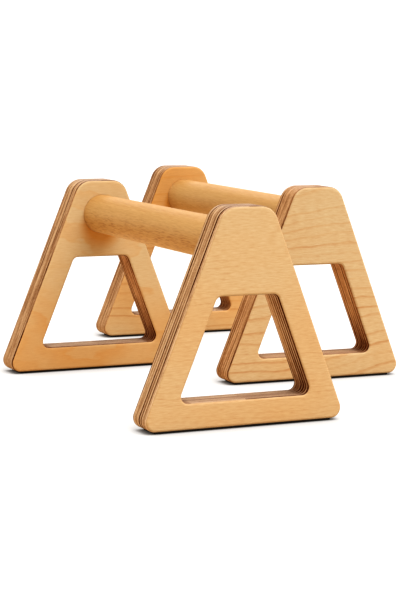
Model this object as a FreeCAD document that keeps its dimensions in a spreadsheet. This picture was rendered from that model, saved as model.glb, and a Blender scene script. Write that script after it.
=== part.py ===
import FreeCAD, Part
import os

import Sketcher

# Pair of wooden parallettes: in each, two A-shaped plywood frames on rubber foot strips carry a round bar.
# Frame of the part: origin on the floor below the middle of the pair, +Y along the left bar, +Z up.
# The pieces of one end (frame and foot strip) are drawn with the frame's outer face on the XZ plane,
# the sheet's thickness along +Y and the floor at z = 0, and are then placed at the front or the rear end.
# The bar is drawn in the place that it has between the two ends.

# Driving sizes in millimetres, and one angle in degrees: alias, value, meaning
SIZES = (
    ("overall_height", 200.0, "floor to the top of a frame"),
    ("base_width", 207.0, "frame outline at its underside, before the corners are rounded"),
    ("top_width", 49.0, "frame outline at its top, before the corners are rounded"),
    ("leg_width", 24.5, "width of a leg, square to its edges"),
    ("rail_height", 24.0, "height of the rail under the window"),
    ("crown_height", 80.0, "window's upper edge to the top of the frame"),
    ("frame_thickness", 30.0, "plywood sheet of a frame"),
    ("base_corner_radius", 9.5, "outer corners at the floor"),
    ("top_corner_radius", 18.0, "outer corners at the top"),
    ("window_corner_radius", 6.5, "corners of the window"),
    ("edge_round", 2.5, "rounding of the frame's edges, outside and in the window"),
    ("grip_length", 304.0, "bar between the two inner faces"),
    ("bar_diameter", 40.0, "round bar"),
    ("bar_drop", 35.0, "top of the frame down to the bar's axis"),
    ("mortise_depth", 18.5, "blind hole for the bar in a frame's inner face"),
    ("bar_end_gap", 0.5, "bar's end to the bottom of its mortise"),
    ("glue_gap", 0.1, "bar to the wall of its mortise, all round"),
    ("bar_end_chamfer", 1.0, "chamfer on the bar's ends"),
    ("strip_thickness", 2.0, "rubber foot strip"),
    ("strip_corner_radius", 2.0, "corners of a foot strip, seen from below"),
    ("pair_spacing", 179.5, "left parallette's place to the right one's, across the bars"),
    ("pair_stagger", 191.5, "left parallette's place to the right one's, along the bars"),
    ("right_turn", 1.33, "right parallette, turned clockwise as seen from above"),
)

# Sizes that follow from the driving ones: alias, formula, meaning
DERIVED_SIZES = (
    ("wood_height", "overall_height - strip_thickness", "frame without its foot strip"),
    ("bar_height", "overall_height - bar_drop", "floor to the bar's axis"),
    ("window_low", "strip_thickness + rail_height", "floor to the window's lower edge"),
    ("window_high", "overall_height - crown_height", "floor to the window's upper edge"),
    ("unit_length", "grip_length + 2 * frame_thickness", "outer face to outer face"),
    ("lean", "(base_width - top_width) / (2 * wood_height)", "a leg's run for each unit of rise"),
    ("slant", "sqrt(1 + lean * lean)", "a leg's length for each unit of rise"),
    ("half_flat", "base_width / 2 - base_corner_radius * (slant + lean)",
     "middle of the underside to where its corner starts to round"),
    ("half_reach", "half_flat + base_corner_radius", "middle to the widest point of a rounded frame"),
    ("bar_seat", "mortise_depth - bar_end_gap", "bar's length inside one frame"),
    ("reach_across", "(half_reach - edge_round) * cos(right_turn)"
     " + (unit_length - edge_round) * sin(right_turn) + edge_round",
     "right parallette's place to its outermost point along x"),
    ("reach_along", "(half_reach - edge_round) * sin(right_turn)"
     " + (unit_length - edge_round) * cos(right_turn) + edge_round",
     "right parallette's place to its outermost point along y"),
    ("left_x", "(half_reach - pair_spacing - reach_across) / 2", "left parallette's place"),
    ("left_y", "-(pair_stagger + reach_along) / 2", "left parallette's place"),
    ("right_x", "left_x + pair_spacing", "right parallette's place"),
    ("right_y", "left_y + pair_stagger", "right parallette's place"),
)

# Where each parallette stands, by the middle of its front outer face on the floor
SIDE_PLACES = {
    "left": "placement(vector(Sizes.left_x; Sizes.left_y; 0); rotation(vector(0; 0; 1); 0))",
    "right": "placement(vector(Sizes.right_x; Sizes.right_y; 0);"
             " rotation(vector(0; 0; 1); -Sizes.right_turn))",
}

# Where each end stands in its parallette: the rear one faces the other way
END_PLACES = {
    "front": "placement(vector(0; 0; 0); rotation(vector(0; 0; 1); 0))",
    "rear": "placement(vector(0; Sizes.unit_length; 0); rotation(vector(0; 0; 1); 180))",
}

# Two coordinates closer than this are the same, in millimetres
SAME = 1e-4

# How a sketch numbers the points of a line or circle, and its own two axes, which start at its origin
START, END, CENTRE = range(1, 4)
LEVEL_AXIS, UPRIGHT_AXIS = range(-1, -3, -1)
ORIGIN_POINT = (LEVEL_AXIS, START)


def make_sheet(doc):
    """The sheet of sizes: the driving ones as numbers, the others as formulas of them."""
    sheet = doc.addObject("Spreadsheet::Sheet", "Sizes")
    rows = [(alias, str(value), meaning) for alias, value, meaning in SIZES]
    rows += [(alias, "=" + formula, meaning) for alias, formula, meaning in DERIVED_SIZES]
    for row, (alias, content, meaning) in enumerate(rows, start=1):
        sheet.set(f"A{row}", meaning)
        sheet.set(f"B{row}", content)
        sheet.setAlias(f"B{row}", alias)
    doc.recompute()
    return sheet


def make_body(doc, label, placement):
    """An empty body with a label of its own, at a place worked out from the sheet."""
    body = doc.addObject("PartDesign::Body", label)
    body.Label = label
    body.setExpression("Placement", placement)
    return body


def make_sketch(body, name, plane_role, forward="0"):
    """An empty sketch on one of the body's own planes, moved forward along +Y or +Z."""
    sketch = body.newObject("Sketcher::SketchObject", f"{body.Label}_{name}")
    plane = next(item for item in body.Origin.OriginFeatures if item.Role == plane_role)
    sketch.AttachmentSupport = [(plane, "")]
    sketch.MapMode = "FlatFace"
    # A sketch on the XZ plane faces -Y
    sign = "-" if plane_role == "XZ_Plane" else ""
    sketch.setExpression("AttachmentOffset.Base.z", f"{sign}({forward})")
    return sketch


def add_loop(sketch, corners):
    """A closed loop of lines through the corners; returns the number of its first line."""
    first = sketch.GeometryCount
    count = len(corners)
    for i in range(count):
        start = FreeCAD.Vector(*corners[i], 0)
        end = FreeCAD.Vector(*corners[(i + 1) % count], 0)
        sketch.addGeometry(Part.LineSegment(start, end), False)
    for i in range(count):
        following = first + (i + 1) % count
        sketch.addConstraint(Sketcher.Constraint("Coincident", first + i, END, following, START))
    return first


def add_size(sketch, name, formula, *definition):
    """A dimension of the sketch that follows the sheet."""
    index = sketch.addConstraint(Sketcher.Constraint(*definition))
    sketch.renameConstraint(index, name)
    sketch.setExpression(f"Constraints.{name}", formula)


def add_trapezoid(sketch, half_base, half_top, low, high):
    """A trapezoid about the upright axis; its lines run base, right, top, left from the number returned."""
    base = add_loop(sketch, [(-half_base, low), (half_base, low), (half_top, high), (-half_top, high)])
    for line in (base, base + 2):
        sketch.addConstraint(Sketcher.Constraint("Symmetric", line, START, line, END, UPRIGHT_AXIS))
    return base


def add_circle(sketch, diameter, height):
    """A circle on the upright axis; its size and height follow the sheet."""
    normal = FreeCAD.Vector(0, 0, 1)
    sheet = sketch.Document.Sizes
    centre = FreeCAD.Vector(0, sheet.bar_height, 0)
    circle = sketch.addGeometry(Part.Circle(centre, normal, sheet.bar_diameter / 2), False)
    sketch.addConstraint(Sketcher.Constraint("PointOnObject", circle, CENTRE, UPRIGHT_AXIS))
    add_size(sketch, "height", height, "DistanceY", *ORIGIN_POINT, circle, CENTRE, sheet.bar_height)
    add_size(sketch, "diameter", diameter, "Diameter", circle, sheet.bar_diameter)


def draw_frame(sketch):
    """The frame's outline and its window, which leave legs, rail and crown of the sheet's widths."""
    sheet = sketch.Document.Sizes
    half_base = sheet.base_width / 2
    half_top = sheet.top_width / 2
    outer = add_trapezoid(sketch, half_base, half_top, sheet.strip_thickness, sheet.overall_height)
    outer_right, outer_top = outer + 1, outer + 2
    add_size(sketch, "base_width", "Sizes.base_width",
             "DistanceX", outer, START, outer, END, sheet.base_width)
    add_size(sketch, "top_width", "Sizes.top_width",
             "DistanceX", outer_top, END, outer_top, START, sheet.top_width)
    add_size(sketch, "underside", "Sizes.strip_thickness",
             "DistanceY", *ORIGIN_POINT, outer, START, sheet.strip_thickness)
    add_size(sketch, "top", "Sizes.overall_height",
             "DistanceY", *ORIGIN_POINT, outer_top, START, sheet.overall_height)

    leg_run = sheet.leg_width * sheet.slant
    window_half_base = half_base - sheet.lean * sheet.rail_height - leg_run
    window_half_top = half_top + sheet.lean * sheet.crown_height - leg_run
    window = add_trapezoid(sketch, window_half_base, window_half_top, sheet.window_low, sheet.window_high)
    window_right, window_top = window + 1, window + 2
    sketch.addConstraint(Sketcher.Constraint("Parallel", outer_right, window_right))
    add_size(sketch, "rail_height", "Sizes.rail_height",
             "DistanceY", outer, START, window, START, sheet.rail_height)
    add_size(sketch, "crown_height", "Sizes.crown_height",
             "DistanceY", window_top, START, outer_top, START, sheet.crown_height)
    add_size(sketch, "leg_width", "Sizes.leg_width",
             "Distance", window_right, START, outer_right, sheet.leg_width)


def draw_strip(sketch):
    """The flat of the frame's underside, between its rounded corners and edges."""
    sheet = sketch.Document.Sizes
    near = sheet.edge_round
    far = sheet.frame_thickness - sheet.edge_round
    near_edge = add_trapezoid(sketch, sheet.half_flat, sheet.half_flat, near, far)
    right_edge, far_edge = near_edge + 1, near_edge + 2
    sketch.addConstraint(Sketcher.Constraint("Vertical", right_edge))
    add_size(sketch, "length", "2 * Sizes.half_flat",
             "DistanceX", near_edge, START, near_edge, END, 2 * sheet.half_flat)
    add_size(sketch, "near", "Sizes.edge_round",
             "DistanceY", *ORIGIN_POINT, near_edge, START, near)
    add_size(sketch, "far", "Sizes.frame_thickness - Sizes.edge_round",
             "DistanceY", *ORIGIN_POINT, far_edge, START, far)


def add_extrusion(body, kind, name, sketch, length, reverse):
    """A pad or pocket of the sketch, with its length from the sheet."""
    feature = body.newObject(f"PartDesign::{kind}", f"{body.Label}_{name}")
    feature.Profile = sketch
    feature.setExpression("Length", length)
    feature.Reversed = reverse
    body.Document.recompute()
    return feature


def dress_edges(body, base, kind, name, size_property, size, wanted):
    """A fillet or chamfer on those edges of the base feature whose two ends pass the test."""
    names = []
    for number, edge in enumerate(base.Shape.Edges, start=1):
        start = edge.valueAt(edge.FirstParameter)
        end = edge.valueAt(edge.LastParameter)
        if wanted(start, end):
            names.append(f"Edge{number}")
    feature = body.newObject(f"PartDesign::{kind}", f"{body.Label}_{name}")
    feature.Base = (base, names)
    feature.setExpression(size_property, size)
    body.Document.recompute()
    return feature


def same(first, second):
    """Whether two coordinates are the same."""
    return abs(first - second) < SAME


def through_at(*heights):
    """A test for the edges that run through the sheet at one of the heights."""
    def test(start, end):
        at_height = any(same(start.z, height) and same(end.z, height) for height in heights)
        return at_height and not same(start.y, end.y)
    return test


def on_faces(*places):
    """A test for the edges that lie on a face square to y, at one of the places."""
    def test(start, end):
        return any(same(start.y, place) and same(end.y, place) for place in places)
    return test


def upright(start, end):
    """A test for the edges that stand on the floor's plane."""
    return not same(start.z, end.z)


def make_frame(doc, label, placement):
    """A plywood frame: outline and window, rounded corners and edges, blind mortise in the inner face."""
    sheet = doc.Sizes
    body = make_body(doc, label, placement)
    outline = make_sketch(body, "outline", "XZ_Plane")
    draw_frame(outline)
    shape = add_extrusion(body, "Pad", "sheet", outline, "Sizes.frame_thickness", True)
    corners = (
        ("window_corners", "Sizes.window_corner_radius", (sheet.window_low, sheet.window_high)),
        ("base_corners", "Sizes.base_corner_radius", (sheet.strip_thickness,)),
        ("top_corners", "Sizes.top_corner_radius", (sheet.overall_height,)),
    )
    for name, radius, heights in corners:
        shape = dress_edges(body, shape, "Fillet", name, "Radius", radius, through_at(*heights))
    faces = on_faces(0, sheet.frame_thickness)
    solid = dress_edges(body, shape, "Fillet", "edges", "Radius", "Sizes.edge_round", faces)

    mortise = make_sketch(body, "mortise_circle", "XZ_Plane", "Sizes.frame_thickness")
    add_circle(mortise, "Sizes.bar_diameter + 2 * Sizes.glue_gap", "Sizes.bar_height")
    drilled = add_extrusion(body, "Pocket", "mortise", mortise, "Sizes.mortise_depth", True)
    if not drilled.Shape.Volume < solid.Shape.Volume:
        raise RuntimeError(f"{label}: the mortise cuts nothing")
    return body


def make_bar(doc, label, placement):
    """The round bar, with its chamfered ends in the two mortises."""
    sheet = doc.Sizes
    body = make_body(doc, label, placement)
    circle = make_sketch(body, "section", "XZ_Plane", "Sizes.frame_thickness - Sizes.bar_seat")
    add_circle(circle, "Sizes.bar_diameter", "Sizes.bar_height")
    rod = add_extrusion(body, "Pad", "rod", circle, "Sizes.grip_length + 2 * Sizes.bar_seat", True)
    near_end = sheet.frame_thickness - sheet.bar_seat
    far_end = near_end + sheet.grip_length + 2 * sheet.bar_seat
    ends = on_faces(near_end, far_end)
    dress_edges(body, rod, "Chamfer", "ends", "Size", "Sizes.bar_end_chamfer", ends)
    return body


def make_strip(doc, label, placement):
    """The rubber strip on the flat of a frame's underside."""
    body = make_body(doc, label, placement)
    outline = make_sketch(body, "outline", "XY_Plane")
    draw_strip(outline)
    sheet_of_rubber = add_extrusion(body, "Pad", "sheet", outline, "Sizes.strip_thickness", False)
    dress_edges(body, sheet_of_rubber, "Fillet", "corners", "Radius", "Sizes.strip_corner_radius", upright)
    return body


def make_pair(doc):
    """All the pieces of both parallettes."""
    pieces = []
    for side, side_place in SIDE_PLACES.items():
        for end, end_place in END_PLACES.items():
            place = f"{side_place} * {end_place}"
            pieces.append(make_frame(doc, f"{side}_{end}_frame", place))
            pieces.append(make_strip(doc, f"{side}_{end}_foot_strip", place))
        pieces.append(make_bar(doc, f"{side}_grip_bar", side_place))
    doc.recompute()
    return pieces


def check(doc, pieces):
    """Stops the build if an object of the document failed or a piece isn't one sound solid."""
    for item in doc.Objects:
        if "Invalid" in item.State or "Error" in item.State:
            raise RuntimeError(f"{item.Label} failed: {item.State}")
    for piece in pieces:
        shape = piece.Shape
        if shape.isNull() or not shape.isValid() or len(shape.Solids) != 1:
            raise RuntimeError(f"{piece.Label} isn't one sound solid")


def write(pieces):
    """One STEP file for each piece, named after it."""
    os.makedirs("parts", exist_ok=True)
    for piece in pieces:
        piece.Shape.exportStep(f"parts/{piece.Label}.step")
        box = piece.Shape.BoundBox
        size = f"{box.XLength:.1f} x {box.YLength:.1f} x {box.ZLength:.1f} mm"
        print(f"{piece.Label}: {size}, {piece.Shape.Volume / 1000:.1f} cm3")


def main():
    doc = FreeCAD.newDocument("parallettes")
    make_sheet(doc)
    pieces = make_pair(doc)
    check(doc, pieces)
    write(pieces)


main()
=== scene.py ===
"""Looks of a pair of wooden parallettes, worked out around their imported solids.

Everything is in metres, in the frame of the part: the floor at z = 0 below the middle of the pair,
+Y along the left bar. The pieces of one end are worked out in coordinates of their own first:
across (level, along the frame's face), into (from the outer face through the sheet) and up.
"""
import math

import bmesh
import bpy
import numpy as np
from bpy.props import FloatProperty, FloatVectorProperty, PointerProperty
from mathutils import Matrix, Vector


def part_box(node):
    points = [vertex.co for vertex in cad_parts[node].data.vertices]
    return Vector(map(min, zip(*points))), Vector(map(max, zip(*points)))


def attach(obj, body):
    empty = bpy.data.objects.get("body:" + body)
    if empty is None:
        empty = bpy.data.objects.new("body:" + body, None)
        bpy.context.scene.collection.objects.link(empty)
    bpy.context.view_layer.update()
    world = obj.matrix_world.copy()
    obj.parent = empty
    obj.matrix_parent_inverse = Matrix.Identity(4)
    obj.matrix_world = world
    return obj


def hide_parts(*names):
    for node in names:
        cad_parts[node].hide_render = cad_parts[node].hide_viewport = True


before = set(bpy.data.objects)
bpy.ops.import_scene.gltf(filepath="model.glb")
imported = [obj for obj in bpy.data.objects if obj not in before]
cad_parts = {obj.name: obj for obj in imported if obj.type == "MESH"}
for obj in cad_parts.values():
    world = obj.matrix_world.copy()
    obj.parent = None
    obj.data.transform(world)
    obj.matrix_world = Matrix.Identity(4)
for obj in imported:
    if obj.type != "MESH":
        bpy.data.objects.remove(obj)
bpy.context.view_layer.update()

bl_info = {
    "name": "Parallettes",
    "version": (1, 0, 0),
    "blender": (4, 5, 0),
    "location": "3D View > Sidebar > Parallettes",
    "description": "Plywood frames, grip bars and foot strips of a pair of parallettes",
    "category": "Object",
}

MILLIMETRE = 0.001
SIDES = ("left", "right")
ENDS = ("front", "rear")

# Points closer than this are one point, in metres
SAME_PLACE = 1e-6
# A crease sharper than this stays a crease
CREASE = math.radians(40)

# Attributes that the finishes read: a point's place in its piece's own coordinates, and the way that its
# surface faces
OWN_PLACE = "own_place"
FACING = "facing"

# How finely the surfaces are divided
BASE_PARTS = 40
LOW_LEG_PARTS = 32
HIGH_LEG_PARTS = 24
TOP_PARTS = 12
WINDOW_TOP_PARTS = 16
CORNER_PARTS = 12
ROUND_PARTS = 8
SHEET_PARTS = 6
BAR_PARTS_ROUND = 128
BAR_PARTS_ALONG = 40
STRIP_SIDE_PARTS = 8
FLOOR_PARTS_ROUND = 96

# Where a leg is divided into the parts beside the window and beside the mortise, as a share of its side
LEG_SPLIT = 0.655
# Rows of a flat face, as shares of the way from its hole to its outline, and of a disc, from its centre
FACE_ROWS = np.array([0, 0.04, 0.35, 0.65, 0.96, 1])
DISC_ROWS = np.array([1, 0.96, 0.5, 0])
# Rings of the floor, as shares of its radius
FLOOR_RINGS = np.array([0.02, 0.1, 0.4, 1])
# Mouth of the mortise, eased by this much, in metres
MOUTH_EASE = 0.1 * MILLIMETRE
# Rounding of a foot strip's lower edge, in metres
STRIP_EASE = 0.5 * MILLIMETRE

# Make-up of the sheet: sanded face veneers, in metres, and equal inner plies between them
VENEER = 1.0 * MILLIMETRE
INNER_PLIES = 13

# Kinds of noise: how many layers of finer noise each one has, and how strong they are
SMOOTH = {"detail": 1.0}
STREAKED = {"detail": 3.0}
DUSTY = {"detail": 4.0}
FACE_FIBROUS = {"detail": 4.0, "roughness": 0.6}
BAR_FIBROUS = {"detail": 3.0, "roughness": 0.6}

# Patterns of the plywood: features for each metre across the face, through the sheet and up, and between
# which values of the noise a pattern goes from one of its ends to the other
SLOW_SWAY = (4, 25, 9)
QUICK_SWAY = (26, 40, 60)
LINE_BREAKS = (13, 20, 30)
LINE_BREAK_LIMITS = (0.35, 0.62)
FACE_FIBRE = (110, 500, 1000)
FACE_FIBRE_LIMITS = (0.25, 0.75)
FACE_DASHES = (140, 500, 1150)
FACE_DASH_LIMITS = (0.52, 0.74)
FACE_PATCHES = (7, 22, 11)
FACE_PATCH_LIMITS = (0.3, 0.7)
EDGE_PATCHES = (10, 1, 10)
EDGE_PATCH_LIMITS = (0.35, 0.6)
EDGE_STREAKS = (34, 1, 34)
EDGE_STREAK_LIMITS = (0.28, 0.72)
EDGE_GRAIN = (420, 900, 420)
EDGE_GRAIN_LIMITS = (0.25, 0.75)
# Patterns of the bar, in the same way: across it, along it and up
BAR_RINGS = (260, 4, 90)
BAR_RING_LIMITS = (0.3, 0.7)
BAR_FIBRE = (1500, 70, 1500)
BAR_FIBRE_LIMITS = (0.2, 0.8)
BAR_RAYS = (1300, 90, 1300)
BAR_RAY_LIMITS = (0.5, 0.68)
# Patterns of the rubber, alike in all directions
PEBBLES = (900, 900, 900)
DUST = (140, 140, 140)
DUST_LIMITS = (0.5, 0.8)

# How much of the brown grain the fibres and the dashes of a face bring
FIBRE_REACH = 0.4
DASH_REACH = 0.15
# How far the tone of the wood changes, where 0 is its pale colour and 1 its warm one: by the fibres and the
# rings of the bar, and where a face veneer turns to the side
BAR_FIBRE_REACH = 0.3
RING_REACH = 0.08
VENEER_SIDE_WARMTH = 0.1
# Painted shade and light: how warm the bar is by the way its surface faces, from straight down to straight
# up, so that its underside, sides and top come out as the light falls on them
BAR_PAINTED_SHADE_TONES = ((0.065, 0.03), (0.18, 0.42), (0.33, 0.48), (0.5, 0.2),
             (0.67, 0.05), (0.82, 0.34), (0.935, 0.56))
# Painted light: between which ways of facing, from -1 for down to 1 for up, the bar's rays fade, and from
# what to what, so that the lit top shows fewer of them than the shaded underside
PAINTED_RAY_FACING = (-0.2, 0.5)
PAINTED_RAY_SHARES = (1, 0.15)
# How far growth lines sway, in lines, the strength of the weakest, and how fine and broad lines darken
# towards their end
SLOW_SWAY_REACH = 2.2
QUICK_SWAY_REACH = 0.3
WEAKEST_LINE = 0.15
FINE_LINE = ((0, 0), (0.66, 0.05), (0.89, 1), (0.95, 1), (1, 0))
BROAD_LINE = ((0, 0.1), (0.25, 0), (0.82, 0.8), (0.92, 1), (1, 0.1))
# Heights between which growth lines fade, in metres, and the share of them that stays at the top
LINE_FADE = (0.148, 0.172)
LINE_KEPT = 0.3
# Painted shadow: the inner face is warmer and darker in a round patch below the bar, where the bar's shadow
# falls: how far below the bar's axis its middle lies, in metres, between which radii it fades, and how warm
# it is
BAR_SHADOW_DROP = 0.013
BAR_SHADOW_RADII = (0.014, 0.027)
BAR_SHADOW_WARMTH = 0.66
# Along a ply: between which shares its strength comes and goes, how far its darkness wanders and how dark
# its specks show. From ply to ply: how far the pattern moves, and the dark line of glue at either side
PLY_SHARES = (0.6, 1.15)
WANDER_REACH = 0.22
SPECK_REACH = 0.16
PLY_STEP = 0.83
GLUE_PROFILE = ((0, 1), (0.12, 0), (0.88, 0), (1, 1))
# Heights between which the plies change from their look at the foot to that at the top, in metres
PLY_CHANGE = (0.03, 0.15)
# Heights between which a level edge changes to the paler plies at the top of a frame, in metres: painted
# light, as the top catches more light than the level edges lower down
LIT_TOP_CHANGE = (0.17, 0.195)
# Heights between which the darkening of the window's sides fades, in metres, and from what to what: partly
# scorch from the cutter, partly painted shade in the window's lower corners
SCORCH_AND_SHADE_HEIGHTS = (0.03, 0.075)
SCORCH_AND_SHADE = (0.28, -0.06)
# Between which shares of facing sideways an edge goes from level to steep
STEEP_FACING = (0.1, 0.75)
# Between which darknesses a steep edge goes from pale to middle, and from middle to dark, and between which
# ones a level edge darkens, and how far
MIDDLE_LIMITS = (0, 0.45)
DARK_LIMITS = (0.4, 1)
LEVEL_LIMITS = (0.2, 1)
LEVEL_DARKEST = 0.75

# Gloss of the wood: between which values of its fibre the roughness changes, and from what to what, how
# strongly it reflects, and how much rougher the darkest plies are
SHEEN_LIMITS = (0.2, 0.8)
FACE_ROUGHNESS = (0.38, 0.48)
FACE_SPECULAR = 0.06
DARK_PLY_ROUGHNESS = 0.3
BAR_ROUGHNESS = (0.36, 0.48)
BAR_SPECULAR = 0.12
# Gloss of the rubber, from clean to dusty, and of the floor
RUBBER_ROUGHNESS = (0.66, 0.82)
FLOOR_ROUGHNESS = 0.9
FLOOR_SPECULAR = 0.1
# Fine relief: its strength, and its depth in metres
FACE_RELIEF = (0.35, 0.06 * MILLIMETRE)
BAR_RELIEF = (0.2, 0.06 * MILLIMETRE)
RUBBER_RELIEF = (0.5, 0.15 * MILLIMETRE)
# How much dust shows at most, and how many times brighter than the rubber it is
DUST_REACH = 0.35
DUST_BRIGHTNESS = 3.2

# The floor glows less where the part covers it: how near the cover has to be, in metres, between which shares
# of open air the glow grows, and the share of it that stays under cover
NEAR_SHADE = (0.045, (0.3, 1), 0.45)
CONTACT_SHADE = (0.007, (0.15, 0.8), 0.15)
# How far up a line of sight points, where 1 is straight up, as the horizon's light changes to the sky's
HORIZON_LIMITS = (0.06, 0.16)
# Width of the camera's sensor, in millimetres
SENSOR_WIDTH = 36

# Nodes that a finish, or the sky, ends in
SHADERS = ("BSDF_PRINCIPLED", "BACKGROUND")
# Sockets of a mix node that take and give colours: others have the same names
MIX_FIRST, MIX_SECOND, MIX_RESULT = 6, 7, 2
WHITE = (1, 1, 1)


def linear(red, green, blue):
    """A colour given as it shows on a screen, 0 to 255, as the light that it stands for."""
    shown = np.array([red, green, blue]) / 255
    light = np.where(shown <= 0.04045, shown / 12.92, ((shown + 0.055) / 1.055) ** 2.4)
    return tuple(float(part) for part in light)


def length(name, description, metres):
    """A length that a user may change."""
    return FloatProperty(name=name, description=description, default=metres, min=0,
                         unit="LENGTH", precision=4)


def angle(name, description, radians):
    """An angle that a user may change."""
    return FloatProperty(name=name, description=description, default=radians,
                         unit="ROTATION", subtype="ANGLE")


def amount(name, description, value):
    """A strength that a user may change."""
    return FloatProperty(name=name, description=description, default=value, min=0)


def colour(name, description, *shown):
    """A colour that a user may change, given as it shows on a screen."""
    return FloatVectorProperty(name=name, description=description, default=linear(*shown),
                               size=3, min=0, max=1, subtype="COLOR")


def box_size(node):
    """Lowest corner and extents of a solid."""
    low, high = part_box(node)
    return np.array(low), np.array(high) - np.array(low)


FRAME_LOW, FRAME_SIZE = box_size("left_front_frame")
STRIP_SIZE = box_size("left_front_foot_strip")[1]
BAR_SIZE = box_size("left_grip_bar")[1]


class ParalletteSizes(bpy.types.PropertyGroup):
    """Sizes of one parallette, as its solids have them."""
    overall_height: length("Overall height", "Floor to the top of a frame", FRAME_LOW[2] + FRAME_SIZE[2])
    base_width: length("Base width", "Outline at the underside, before rounding", 207 * MILLIMETRE)
    top_width: length("Top width", "Outline at the top, before rounding", 49 * MILLIMETRE)
    leg_width: length("Leg width", "Width of a leg, square to its edges", 24.5 * MILLIMETRE)
    rail_height: length("Rail height", "Rail under the window", 24 * MILLIMETRE)
    crown_height: length("Crown height", "Window's upper edge to the top", 80 * MILLIMETRE)
    frame_thickness: length("Frame thickness", "Plywood sheet of a frame", FRAME_SIZE[1])
    base_corner_radius: length("Base corner radius", "Outer corners at the floor", 9.5 * MILLIMETRE)
    top_corner_radius: length("Top corner radius", "Outer corners at the top", 18 * MILLIMETRE)
    window_corner_radius: length("Window corner radius", "Corners of the window", 6.5 * MILLIMETRE)
    edge_round: length("Edge round", "Rounding of a frame's edges", 2.5 * MILLIMETRE)
    grip_length: length("Grip length", "Bar between the inner faces", 304 * MILLIMETRE)
    bar_diameter: length("Bar diameter", "Round bar", BAR_SIZE[0])
    bar_drop: length("Bar drop", "Top of the frame down to the bar's axis", 35 * MILLIMETRE)
    mortise_depth: length("Mortise depth", "Blind hole for the bar", 18.5 * MILLIMETRE)
    bar_end_gap: length("Bar end gap", "Bar's end to the bottom of its mortise", 0.5 * MILLIMETRE)
    glue_gap: length("Glue gap", "Bar to the wall of its mortise", 0.1 * MILLIMETRE)
    bar_end_chamfer: length("Bar end chamfer", "Chamfer on the bar's ends", 1 * MILLIMETRE)
    strip_thickness: length("Strip thickness", "Rubber foot strip", STRIP_SIZE[2])
    strip_length: length("Strip length", "Foot strip along the frame", STRIP_SIZE[0])
    strip_corner_radius: length("Strip corner radius", "Corners of a foot strip", 2 * MILLIMETRE)


class PairPlaces(bpy.types.PropertyGroup):
    """Where the two parallettes stand."""
    left: FloatVectorProperty(name="Left place", description="Middle of the left front face on the floor",
                              default=(FRAME_LOW[0] + FRAME_SIZE[0] / 2, FRAME_LOW[1]), size=2,
                              subtype="XYZ", unit="LENGTH", precision=4)
    spacing: length("Spacing", "Left place to the right one, across the bars", 179.5 * MILLIMETRE)
    stagger: length("Stagger", "Left place to the right one, along the bars", 191.5 * MILLIMETRE)
    right_turn: angle("Right turn", "Right parallette, clockwise from above", math.radians(1.33))


class WoodColours(bpy.types.PropertyGroup):
    """Colours of the wood and the rubber."""
    face_pale: colour("Face, pale", "Palest parts of the face veneer", 200, 188, 158)
    face_warm: colour("Face, warm", "Warmest parts of the face veneer", 204, 150, 76)
    face_grain: colour("Face, grain", "Growth lines, fibres and dashes of the face veneer", 166, 112, 60)
    edge_pale: colour("Edge, pale", "Palest plies at a steep edge", 218, 192, 160)
    edge_middle: colour("Edge, middle", "Plies between the palest and the darkest", 172, 134, 98)
    edge_dark: colour("Edge, dark", "End grain of the crossing plies", 76, 30, 4)
    edge_level: colour("Edge, level", "Plies at a level edge", 178, 151, 125)
    # Painted light: a paler copy of the level plies for the top of a frame, which catches more light
    edge_top_lit: colour("Edge, top", "Plies at the top of a frame", 178, 152, 130)
    # Painted shade: a warm tint that darkens the plies on the shaded window sides and outer sides
    edge_shade_tint: colour("Edge, amber", "Tint of plies that have gone amber", 255, 220, 170)
    bar_pale: colour("Bar, pale", "Early wood of the bar", 208, 175, 124)
    bar_warm: colour("Bar, warm", "Late wood of the bar", 174, 127, 66)
    bar_fleck: colour("Bar, fleck", "Short rays in the bar", 132, 72, 28)
    rubber: colour("Rubber", "Foot strips", 9, 8, 8)


class StudioSettings(bpy.types.PropertyGroup):
    """Floor, light and camera."""
    floor: colour("Floor", "Colour of the floor, without its glow", 128, 128, 128)
    floor_glow: amount("Floor glow", "Light that the lit floor gives off", 0.6)
    floor_shine: colour("Floor shine", "Colour of the lit floor", 255, 255, 255)
    floor_bounce: colour("Floor bounce", "Colour of the light that the floor throws back up", 255, 210, 150)
    floor_reach: length("Floor reach", "Radius of the floor", 40.0)
    sky: amount("Sky", "Soft light from all round", 0.5)
    sky_tint: colour("Sky tint", "Colour of the soft light", 255, 240, 220)
    horizon: amount("Horizon", "Lit backdrop behind the floor", 1.1)
    key_light: amount("Key light", "Strength of the large soft lamp", 2.45)
    key_spread: angle("Key spread", "Angle that the soft lamp fills", math.radians(50))
    key_height: angle("Key height", "Lamp above the horizon", math.radians(60))
    key_side: angle("Key side", "Lamp to the right of the front", math.radians(22))
    fill_light: amount("Fill light", "Strength of the lamp behind", 0.5)
    fill_spread: angle("Fill spread", "Angle that the lamp behind fills", math.radians(40))
    fill_height: angle("Fill height", "Lamp behind above the horizon", math.radians(40))
    fill_side: angle("Fill side", "Lamp behind to the right of the front", math.radians(160))
    camera_place: FloatVectorProperty(name="Camera place", description="Where the camera stands",
                                      default=(-0.861294, -1.736988, 0.335806), size=3,
                                      subtype="TRANSLATION", unit="LENGTH")
    camera_pan: angle("Camera pan", "Turned to the right of +Y", 0.4582236)
    camera_tilt: angle("Camera tilt", "Turned up from level", -0.1330131)
    camera_roll: angle("Camera roll", "Turned about the line of sight", 0.0153807)
    camera_lens: FloatProperty(name="Camera lens", description="Focal length, in millimetres",
                               default=111.629, unit="CAMERA")
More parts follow.
